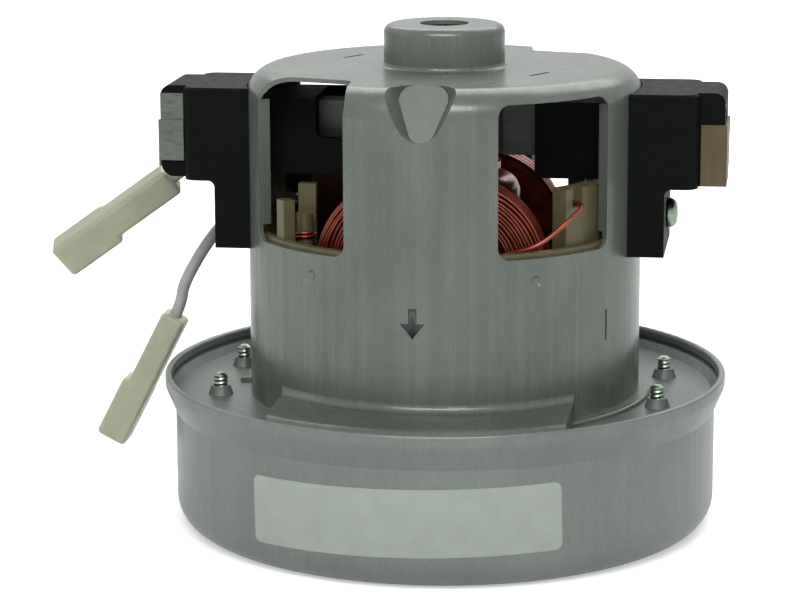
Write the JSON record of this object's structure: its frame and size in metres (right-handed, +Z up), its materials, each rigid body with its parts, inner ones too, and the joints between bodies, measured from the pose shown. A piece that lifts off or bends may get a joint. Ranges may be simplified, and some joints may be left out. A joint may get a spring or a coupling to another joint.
{
  "type": "vacuum motor unit",
  "caption": "Through-flow vacuum motor: windowed steel can with brush holders on a wide fan drum, two lead wires with plugs.",
  "frame": {"origin": "on the shaft axis, at the bottom face of the fan drum", "axes": "+Z up the shaft towards the upper bearing cup, +X and -X towards the brush holders, -Y towards the labelled front"},
  "size_m": [0.1712, 0.137, 0.1218],
  "materials": {
    "zinc_steel": "drawn zinc-coated sheet, satin",
    "lamination_steel": "stacked laminations, matte",
    "ground_steel": "ground, polished",
    "screw_zinc": "zinc plated",
    "spun_aluminium": "spun sheet, satin",
    "tinned_strip": "tinned strip, bright",
    "brass_strip": "tarnished brass",
    "enamelled_copper": "enamelled copper wire, glossy",
    "bare_copper": "bare copper",
    "black_phenolic": "moulded, matte",
    "dark_plastic": "moulded, matte",
    "cream_nylon": "moulded, satin",
    "ivory_nylon": "moulded, satin",
    "white_nylon": "moulded, satin",
    "phenolic_resin": "moulded resin",
    "fibre_board": "pressed fibre",
    "label_paper": "printed film, satin, no print",
    "black_rubber": "matte",
    "grey_pvc": "wire insulation, satin",
    "carbon": "pressed carbon"
  },
  "bodies": {
    "housing": {"fan_cover": "zinc_steel", "intake_seal": "white_nylon", "rating_label": "label_paper", "bracket_plate": "zinc_steel", "bracket_screws": "screw_zinc", "diffuser": "dark_plastic", "motor_can": "zinc_steel", "stator_core": "lamination_steel", "upper_field_insulator": "cream_nylon", "lower_field_insulator": "cream_nylon", "front_field_coil_core": "enamelled_copper", "back_field_coil_core": "enamelled_copper", "front_field_winding": "enamelled_copper", "back_field_winding": "enamelled_copper", "front_coil_jumper": "enamelled_copper", "back_coil_jumper": "enamelled_copper", "upper_bearing_sleeve": "black_rubber", "upper_lead_wire": "grey_pvc", "lower_lead_wire": "grey_pvc", "upper_lead_connector": "ivory_nylon", "lower_lead_connector": "ivory_nylon", "lead_terminals": "tinned_strip", "bearing_shields": "ground_steel", "holder_screws": "screw_zinc", "upper_bearing_outer_ring": "ground_steel", "lower_bearing_outer_ring": "ground_steel", "right_brush_holder": "black_phenolic", "right_brush_tube": "tinned_strip", "right_brush_spring": "ground_steel", "right_brush_shunt": "bare_copper", "right_brush_cap": "brass_strip", "right_brush_clip": "tinned_strip", "left_brush_holder": "black_phenolic", "left_brush_tube": "tinned_strip", "left_brush_spring": "ground_steel", "left_brush_shunt": "bare_copper", "left_brush_cap": "brass_strip", "left_brush_clip": "tinned_strip"},
    "rotor": {"shaft": "ground_steel", "armature_core": "lamination_steel", "armature_winding": "enamelled_copper", "armature_insulation": "fibre_board", "commutator_bars": "bare_copper", "commutator_hub": "phenolic_resin", "upper_rotor_spacer": "cream_nylon", "lower_rotor_spacer": "cream_nylon", "fan_spacer": "ground_steel", "impeller_front_shroud": "spun_aluminium", "impeller_back_plate": "spun_aluminium", "impeller_blades": "spun_aluminium", "fan_washers": "screw_zinc", "fan_nut": "screw_zinc", "upper_bearing_inner_ring": "ground_steel", "lower_bearing_inner_ring": "ground_steel"},
    "upper_rolling_set": {"upper_bearing_balls": "ground_steel", "upper_bearing_cage": "ground_steel"},
    "lower_rolling_set": {"lower_bearing_balls": "ground_steel", "lower_bearing_cage": "ground_steel"},
    "right_brush": {"right_carbon_brush": "carbon"},
    "left_brush": {"left_carbon_brush": "carbon"}
  },
  "joints": [
    {"name": "rotor_spin", "type": "hinge", "parent": "housing", "child": "rotor", "pos_m": [0, 0, 0], "axis": [0, 0, 1], "continuous": true},
    {"name": "upper_cage_spin", "type": "hinge", "parent": "housing", "child": "upper_rolling_set", "pos_m": [0, 0, 0.1158], "axis": [0, 0, 1], "continuous": true},
    {"name": "lower_cage_spin", "type": "hinge", "parent": "housing", "child": "lower_rolling_set", "pos_m": [0, 0, 0.0271], "axis": [0, 0, 1], "continuous": true},
    {"name": "right_brush_slide", "type": "slide", "parent": "housing", "child": "right_brush", "axis": [1, 0, 0], "range_m": [0, 0.006], "stiffness_N_per_m": 200, "springref_m": -0.015, "deforming": ["right_brush_spring", "right_brush_shunt"]},
    {"name": "left_brush_slide", "type": "slide", "parent": "housing", "child": "left_brush", "axis": [-1, 0, 0], "range_m": [0, 0.006], "stiffness_N_per_m": 200, "springref_m": -0.015, "deforming": ["left_brush_spring", "left_brush_shunt"]}
  ],
  "couplings": [
    {"joint": "upper_cage_spin", "follows": "rotor_spin", "ratio": 0.3677},
    {"joint": "lower_cage_spin", "follows": "rotor_spin", "ratio": 0.3677}
  ]
}
